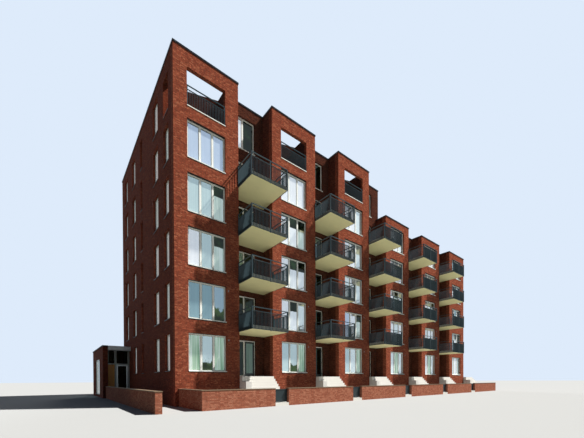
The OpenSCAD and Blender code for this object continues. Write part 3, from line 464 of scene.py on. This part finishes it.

# Nodes whose finish differs from that of their slot: the brick copies paint shade and light, and the sills' dark
# left side is painted shade
NODE_FINISHES = {
    "recess_walls_tall": RECESS_SHADE_BRICK, "recess_walls_low": RECESS_SHADE_BRICK, "recess_bases": RECESS_SHADE_BRICK,
    "roof_terrace_walls": RECESS_SHADE_BRICK, "garden_walls": GARDEN_LIT_BRICK, "tower_side_walls": TOWER_SIDE_SHADE_BRICK,
    "side_wall_front": SIDE_WALL_SHADE_BRICK, "side_wall_left": SIDE_WALL_SHADE_BRICK, "wing_walls": SIDE_WALL_SHADE_BRICK,
    "window_sills": sill_metal(), "entrance_screen": PORCH_GREY,
    **{"garden_gate_%d" % k: GATE_STEEL for k in range(1, BAYS)},
}
SLOT_OF = {row["node"]: row["material_slot"] for row in frame["record"]["subparts"]}
for node_name, node in frame["nodes"].items():
    node.data.materials.clear()
    node.data.materials.append(NODE_FINISHES.get(node_name, FINISHES[SLOT_OF[node_name]]))


# How a flat layout stands in the block: the directions of its width, its height and its depth into the wall,
# and the point from which they are counted
FACES = {
    "front": (((1, 0, 0), (0, 0, 1), (0, 1, 0)), (0, FRONT, 0)),
    "rear": (((1, 0, 0), (0, 0, 1), (0, -1, 0)), (0, REAR, 0)),
    "left": (((0, 1, 0), (0, 0, 1), (1, 0, 0)), (LEFT, 0, 0)),
    "right": (((0, 1, 0), (0, 0, 1), (-1, 0, 0)), (RIGHT, 0, 0)),
    # A layout that lies level: its height runs to the rear and its depth downwards
    "level": (((1, 0, 0), (0, 1, 0), (0, 0, -1)), (0, FRONT, 0)),
}


def lofted(outlines, profile, ring=False):
    """Rectangles lofted in depth. An outline is its left, right, low and high edge and the depth it starts from; each
    row of the profile pulls all edges inwards by one length and lies deeper by the other. A ring joins its last
    row to the first, and other lofts are closed by flat ends."""
    edge = np.asarray(outlines, float)[:, None, :]
    pull, deep = np.asarray(profile, float).T
    left, right = edge[..., 0] + pull, edge[..., 1] - pull
    low, high = edge[..., 2] + pull, edge[..., 3] - pull
    depth = np.repeat((edge[..., 4] + deep)[..., None], 4, axis=2)
    across = np.stack([left, right, right, left], axis=2)
    upward = np.stack([low, low, high, high], axis=2)
    points = np.stack([across, upward, depth], axis=3)
    count, rows = points.shape[:2]
    index = np.arange(count * rows * 4).reshape(count, rows, 4)
    start = index if ring else index[:, :-1]
    following = np.roll(index, -1, axis=1) if ring else index[:, 1:]
    quads = np.stack([start, np.roll(start, -1, axis=2), np.roll(following, -1, axis=2), following], axis=3)
    ends = [] if ring else [index[:, 0], index[:, -1, ::-1]]
    return points.reshape(-1, 3), [quads.reshape(-1, 4)] + ends


def tubes(starts, path, radius, sides=10):
    """Round bars: a circle carried along a path of points that lies level, square to the path at every point, once
    from each start, and closed by flat ends."""
    path = np.asarray(path, float)
    along = np.gradient(path, axis=0)
    along /= np.linalg.norm(along, axis=1, keepdims=True)
    upward = np.array([0.0, 1.0, 0.0])
    across = np.cross(along, upward)
    angle = np.linspace(0, 2 * math.pi, sides, endpoint=False)
    circle = (np.cos(angle)[None, :, None] * across[:, None] + np.sin(angle)[None, :, None] * upward) * radius
    points = np.asarray(starts, float)[:, None, None] + (path[:, None] + circle)[None]
    count, rows = points.shape[:2]
    index = np.arange(count * rows * sides).reshape(count, rows, sides)
    following = np.roll(index, -1, axis=2)
    quads = np.stack([index[:, :-1], following[:, :-1], following[:, 1:], index[:, 1:]], axis=3)
    return points.reshape(-1, 3), [quads.reshape(-1, 4), index[:, 0], index[:, -1, ::-1]]


def stood(shell, face):
    """A shell of a flat layout turned into the block: width, height and depth times the face's directions."""
    axes, origin = FACES[face]
    return shell[0] @ np.array(axes, float) + np.array(origin, float), shell[1]


def piece(name, shells, slot, body="building", finish=None, replaces=()):
    """One mesh of several closed shells with its normals outwards, given its own finish or that of its slot, and
    riding on a body. The faces of each shell count on from the points of those before it."""
    points, faces, count = [], [], 0
    for shell_points, groups in shells:
        points += shell_points.tolist()
        for group in groups:
            faces += (group + count).tolist()
        count += len(shell_points)
    mesh = bpy.data.meshes.new(name)
    mesh.from_pydata(points, [], faces)
    work = bmesh.new()
    work.from_mesh(mesh)
    bmesh.ops.recalc_face_normals(work, faces=work.faces)
    work.to_mesh(mesh)
    work.free()
    mesh.materials.append(finish or FINISHES[slot])
    made = bpy.data.objects.new(name, mesh)
    bpy.context.scene.collection.objects.link(made)
    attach(made, body)
    if replaces:
        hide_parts(*replaces)
    return made


def floor_z(level):
    """Height of a storey's floor, the lowest storey being 1."""
    return FLOOR_1 + (level - 1) * STOREY


def storeys(k):
    """The storeys of a bay, of which the first bays have one more."""
    return range(1, (TALL_STOREYS if k < TALL_BAYS else LOW_STOREYS) + 1)


def window_lights(start, low, width, height, count, depth):
    """Outlines of the lights in a window: equal parts between the frame's bars and the mullions."""
    light = (width - 2 * FRAME_W - (count - 1) * MULLION_W) / count
    left = start + FRAME_W + np.arange(count) * (light + MULLION_W)
    return [(x, x + light, low + FRAME_W, low + height - FRAME_W, depth) for x in left]


def front_lights():
    """Lights of the street side with their dressings: three to a tower window, and in the recesses a light beside
    each door or two lights where there is none."""
    outlines, dressings = [], []
    for k in range(BAYS):
        x = LEFT + k * BAY
        for level in range(1, LOW_STOREYS + 1):
            outlines += window_lights(x + WINDOW_X, floor_z(level) + SILL, WINDOW_W, WINDOW_H, 3, REVEAL)
            dressings += TOWER_PLANS[k][level - 1]
        start, deep = x + TOWER + DOOR_X, RECESS + REVEAL
        for level in storeys(k):
            z = floor_z(level)
            if level == 1 or (k < BAYS - 1 and level <= LOW_STOREYS):
                outlines.append((start + FRAME_W, start + LIGHT_W, z + FRAME_W, z + DOOR_H - FRAME_W, deep))
                dressings.append("slate" if (k + level) % 3 == 0 else "dark")
            else:
                outlines += window_lights(start, z + SILL, DOOR_W, WINDOW_H, 2, deep)
                dressings += ["white", "dark"]
    return outlines, dressings


def side_lights(columns, levels, skip_first):
    """Lights of a side wall, one to a window, with the dressings of its plan in turn. The first column may lack its
    highest window, where a roof terrace opens instead."""
    outlines, dressings = [], []
    for level in range(1, levels + 1):
        for c, (start, width) in enumerate(columns):
            if not (skip_first and c == 0 and level == levels):
                outlines += window_lights(FRONT + start, floor_z(level) + SILL, width, WINDOW_H, 1, REVEAL)
                dressings.append(SIDE_PLAN[(level + c) % len(SIDE_PLAN)])
    return outlines, dressings


def rear_lights():
    """Lights of the rear wall: a three-light window and a single one to each bay and storey, but none behind the
    wing, with the dressings of its plan in turn."""
    outlines, dressings = [], []
    for k in range(BAYS):
        for level in storeys(k):
            if k > 0 or level > 1:
                x, z = LEFT + k * BAY, floor_z(level) + SILL
                lights = window_lights(x + WINDOW_X, z, WINDOW_W, WINDOW_H, 3, REVEAL)
                lights += window_lights(x + TOWER + DOOR_X, z, LIGHT_W, WINDOW_H, 1, REVEAL)
                outlines += lights
                dressings += [REAR_PLAN[(5 * k + 4 * level + i) % len(REAR_PLAN)] for i in range(len(lights))]
    return outlines, dressings


def hang_dressings(made, words, profile):
    """Writes into panes of this profile what hangs behind each, and how high every point lies in its pane as a share:
    0 for the two lower corners of each row and 1 for the two upper ones."""
    dressings = np.repeat([DRESSING[word] for word in words], 4 * len(profile), axis=0)
    heights = np.tile([0.0, 0.0, 1.0, 1.0], len(words) * len(profile))
    layer = made.data.attributes.new("dressing", "FLOAT_VECTOR", "POINT")
    layer.data.foreach_set("vector", dressings.astype(np.float32).ravel())
    layer = made.data.attributes.new("height_share", "FLOAT", "POINT")
    layer.data.foreach_set("value", heights.astype(np.float32))


def glaze_side(side, sets, glass=None, sash=SASH_GREY, replaces=()):
    """Panes, sashes and seals of one side of the block. A set is a face, the lights in it and their dressings."""
    def lined(profile, ring):
        return [stood(lofted(lights, profile, ring), face) for face, lights, _ in sets]

    made = piece(side + "_panes", lined(PANE, False), "window_glass", finish=glass, replaces=replaces)
    hang_dressings(made, [word for _, _, words in sets for word in words], PANE)
    piece(side + "_sashes", lined(SASH, True), "cream_frame", finish=sash)
    piece(side + "_glazing_seals", lined(RUBBER, True), "cream_frame", finish=RUBBER_BLACK)


def glaze_leaves(name, openings, body, words, slot):
    """Glass and beads of leaves that face the street: the pane stands 3 mm proud of the leaf's own sheet on both
    sides, and the beads slope down to it."""
    made = piece(name + "_pane", [stood(lofted(openings, LEAF_PANE), "front")], "window_glass", body)
    hang_dressings(made, words, LEAF_PANE)
    beads = [stood(lofted(openings, profile, True), "front") for profile in (LEAF_BEAD, LEAF_BEAD_IN)]
    piece(name + "_beads", beads, slot, body)


def leaf_opening(x, z, width, height, depth):
    """Outline of the glass in a leaf: its bars all round, the lowest one twice as high."""
    return x + LEAF_BAR, x + width - LEAF_BAR, z + 2 * LEAF_BAR, z + height - LEAF_BAR, depth


def windows():
    """The windows of all four sides, with the wing's window in the left set and the entrance's upper lights, which
    face the street, in the right one."""
    wing = window_lights(FRONT + WING_WINDOW_Y, WING_WINDOW_Z, WING_WINDOW_W, WING_WINDOW_H, 2, REVEAL / 2 - WING_OUT)
    upper_edges = (TRANSOM_Z, SCREEN_TOP - FRAME_W, PORCH_Y)
    entry = [(WING_X + WING_WALL, WING_X + WING_WALL + PANEL_W, *upper_edges),
             (LEFT - ENTRY_X - ENTRY_W - LEAF_GAP, LEFT - ENTRY_X + LEAF_GAP, *upper_edges)]
    glaze_side("front", [("front", *front_lights())], replaces=("front_glass",))
    glaze_side("left", [("left", *side_lights(SIDE_COLUMNS, TALL_STOREYS, True)), ("left", wing, ["soft", "pale"])],
               LEFT_GLOWING_GLASS, FINISHES["cream_frame"], ("side_glass",))
    glaze_side("right", [("right", *side_lights(SIDE_COLUMNS[1:], LOW_STOREYS, False)),
                         ("front", entry, ["dark", "dark"])])
    glaze_side("rear", [("rear", *rear_lights())], replaces=("rear_glass",))


def doors():
    """Glass and beads of the terrace doors, of the balcony doors, which are fixed, and of the entrance door; then the
    lever handles of the balcony doors: a bar out of the leaf, round a quarter bend and along it, on a plate."""
    depth = RECESS + REVEAL
    for k in range(BAYS):
        name = "terrace_door_%d" % (k + 1)
        opening = leaf_opening(LEFT + k * BAY + LEAF_X + LEAF_GAP, FLOOR_1 + LEAF_GAP, LEAF_W, LEAF_H, depth)
        glaze_leaves(name, [opening], name + "_leaf", ["sage" if k % 2 == 0 else "dark"], "dark_green_leaf")
    fixed = [(LEFT + k * BAY + LEAF_X, floor_z(level))
             for k in range(BAYS - 1) for level in range(2, LOW_STOREYS + 1)]
    openings = [leaf_opening(x, z, LEAF_W + 2 * LEAF_GAP, LEAF_H + 2 * LEAF_GAP, depth) for x, z in fixed]
    glaze_leaves("balcony_doors", openings, "building", BALCONY_PLAN * (BAYS - 1), "dark_green_leaf")
    opening = leaf_opening(LEFT - ENTRY_X - ENTRY_W, WING_FLOOR + LEAF_GAP, ENTRY_W, ENTRY_H, PORCH_Y)
    glaze_leaves("entrance_door", [opening], "entrance_door_leaf", ["dark"], "grey_aluminium")

    bend = np.linspace(0, math.pi / 2, 5)[1:]
    turn = -HANDLE_OUT + HANDLE_BEND
    lever = [(0, 0, 0), (0, 0, turn)]
    lever += [(HANDLE_BEND - HANDLE_BEND * math.cos(a), 0, turn - HANDLE_BEND * math.sin(a)) for a in bend]
    lever += [(HANDLE_L, 0, -HANDLE_OUT)]
    starts = [(x + LEAF_BAR / 2, z + HANDLE_Z, depth + SEAT) for x, z in fixed]
    roses = lofted([(x - ROSE_W / 2, x + ROSE_W / 2, z - ROSE_H / 2, z + ROSE_H / 2, y) for x, z, y in starts], ROSE)
    piece("balcony_door_handles", [stood(tubes(starts, lever, HANDLE_R), "front"), stood(roses, "front")],
          "grey_aluminium")


def facade_trim():
    """Lintel angles that carry the brick over the tower windows, whose dark coat also paints the shade under the
    reveal heads; dark strips under their sills, a painted shadow of the sills; and small slatted vents on the right
    pier of each tower."""
    feet = [(LEFT + k * BAY + WINDOW_X, floor_z(level) + SILL)
            for k in range(BAYS) for level in range(1, LOW_STOREYS + 1)]
    # Dark angles whose coat paints the shade under the reveal heads
    lintels = [(x - LINTEL_END, x + WINDOW_W + LINTEL_END, LINTEL_BACK, REVEAL, -(z + WINDOW_H)) for x, z in feet]
    piece("window_lintels", [stood(lofted(lintels, LINTEL), "level")], "dark_cap", finish=SHADE_LEAD)
    # Dark strips that paint the sills' shadow
    sill_shadow_strips = [(x, x + WINDOW_W, z - SILL_SHADOW_H, z - SILL_SHADOW_GAP, SEAT) for x, z in feet]
    piece("sill_painted_shadows", [stood(lofted(sill_shadow_strips, SILL_SHADOW_PROFILE), "front")], "dark_cap", finish=SHADE_LEAD)
    corners = [(LEFT + k * BAY + VENT_X, floor_z(level) + VENT_Z) for k in range(BAYS) for level in VENT_STOREYS]
    vents = [(x, x + VENT_W, z, z + VENT_H, SEAT) for x, z in corners]
    slats = [(x + VENT_BORDER, x + VENT_W - VENT_BORDER, z + SLAT_Z + SLAT_PITCH * i,
              z + SLAT_Z + SLAT_H + SLAT_PITCH * i, -SLAT_OUT) for x, z in corners for i in range(SLATS)]
    piece("pier_vents", [stood(lofted(vents, VENT), "front"), stood(lofted(slats, SLAT), "front")], "grey_aluminium")


def lamp(name, turn, height, strength, softness, code):
    """A distant lamp, turned from the street side towards +X and raised by height. Glass doesn't mirror its disc."""
    data = bpy.data.lights.new(name, "SUN")
    data.energy = strength
    data.angle = math.radians(softness)
    data.color = linear(code)[:3]
    a, e = math.radians(turn), math.radians(height)
    towards = Vector((math.sin(a) * math.cos(e), -math.cos(a) * math.cos(e), math.sin(e)))
    made = bpy.data.objects.new(name, data)
    made.visible_glossy = False
    made.rotation_mode = "QUATERNION"
    made.rotation_quaternion = towards.to_track_quat("Z", "Y")
    bpy.context.scene.collection.objects.link(made)


def camera():
    """Axes of the lens from its heading, pitch and roll; the rise of the lens becomes the camera's shift."""
    ahead = np.array([math.cos(HEADING), math.sin(HEADING), 0.0])
    right = np.array([math.sin(HEADING), -math.cos(HEADING), 0.0])
    up = np.array([0.0, 0.0, 1.0])
    forward = math.cos(PITCH) * ahead + math.sin(PITCH) * up
    upward = math.cos(PITCH) * up - math.sin(PITCH) * ahead
    across = math.cos(ROLL) * right - math.sin(ROLL) * upward
    upright = math.sin(ROLL) * right + math.cos(ROLL) * upward
    data = bpy.data.cameras.new("camera")
    data.sensor_width = SENSOR
    data.lens = FOCAL_PX / IMAGE_W * SENSOR
    data.shift_y = RISE_PX / IMAGE_W
    data.clip_end = SIGHT
    made = bpy.data.objects.new("camera", data)
    turn = Matrix(np.column_stack([across, upright, -forward]).tolist()).to_4x4()
    made.matrix_world = Matrix.Translation(CAMERA_PLACE) @ turn
    bpy.context.scene.collection.objects.link(made)
    bpy.context.scene.camera = made


def seen_or_mirrored(tree):
    """1 for what the camera sees itself, in a reflection or through glass, else 0."""
    path = add(tree, "ShaderNodeLightPath").outputs
    first = add(tree, "ShaderNodeMath", {0: path["Is Camera Ray"], 1: path["Is Glossy Ray"]}, operation="MAXIMUM")
    both = add(tree, "ShaderNodeMath", {0: first.outputs[0], 1: path["Is Transmission Ray"]}, operation="MAXIMUM")
    return both.outputs[0]


def sky():
    """A pale even sky: bright where it is seen or mirrored, and weaker as light on the block."""
    world = bpy.data.worlds.new("sky")
    bpy.context.scene.world = world
    world.use_nodes = True
    tree = world.node_tree
    tree.nodes.clear()
    seen = seen_or_mirrored(tree)
    colour = add(tree, "ShaderNodeMix", {0: seen, 6: linear(SKY_LIGHT), 7: linear(SKY_SEEN)}, data_type="RGBA")
    strength = add(tree, "ShaderNodeMix", {0: seen, 2: SKY_STRENGTH, 3: 1.0})
    back = add(tree, "ShaderNodeBackground", {"Color": colour.outputs[2], "Strength": strength.outputs[0]})
    add(tree, "ShaderNodeOutputWorld", {"Surface": back.outputs[0]})


def floor():
    """A wide round floor: a disc whose rings lie at radii that grow as squares, joined by quads, with triangles round
    the middle. It is pale to the eye and duller to bounced light, most of all beside and behind the block."""
    radius = np.linspace(0.0, 1.0, FLOOR_RINGS + 1)[1:] ** 2 * FLOOR_REACH
    angle = np.linspace(0.0, 2 * math.pi, FLOOR_SPOKES, endpoint=False)
    x = np.outer(radius, np.cos(angle)).ravel()
    y = np.outer(radius, np.sin(angle)).ravel()
    points = np.vstack([[0.0, 0.0, 0.0], np.column_stack([x, y, np.zeros_like(x)])])
    index = 1 + np.arange(FLOOR_RINGS * FLOOR_SPOKES).reshape(FLOOR_RINGS, FLOOR_SPOKES)
    following = np.roll(index, -1, axis=1)
    quads = np.stack([index[:-1], index[1:], following[1:], following[:-1]], axis=-1).reshape(-1, 4)
    hub = np.column_stack([np.zeros(FLOOR_SPOKES, int), index[0], following[0]])
    mesh = bpy.data.meshes.new("floor")
    mesh.from_pydata(points.tolist(), [], quads.tolist() + hub.tolist())
    made = bpy.data.objects.new("floor", mesh)
    bpy.context.scene.collection.objects.link(made)
    finish, tree, shader = material("pale_floor")
    place = add(tree, "ShaderNodeTexCoord").outputs["Object"]
    part = add(tree, "ShaderNodeSeparateXYZ", {"Vector": place}).outputs
    beside = add(tree, "ShaderNodeMapRange", {0: part["X"], 1: LEFT, 2: LEFT - FLOOR_FADE}).outputs[0]
    behind = add(tree, "ShaderNodeMapRange", {0: part["Y"], 1: FRONT, 2: REAR}).outputs[0]
    away = add(tree, "ShaderNodeMath", {0: beside, 1: behind}, operation="MAXIMUM").outputs[0]
    thrown = add(tree, "ShaderNodeMix", {0: away, 6: linear(FLOOR_LIGHT), 7: linear(FLOOR_DULL)}, data_type="RGBA")
    tone = add(tree, "ShaderNodeMix", {0: seen_or_mirrored(tree), 6: thrown.outputs[2], 7: linear(FLOOR_SEEN)},
               data_type="RGBA")
    coat(tree, shader, tone.outputs[2], roughness=0.95, specular=0.0)
    mesh.materials.append(finish)


windows()
doors()
facade_trim()
lamp("key_light", *KEY_LIGHT)
lamp("rear_light", *REAR_LIGHT)
sky()
floor()
camera()
bpy.context.scene.view_settings.view_transform = "Standard"
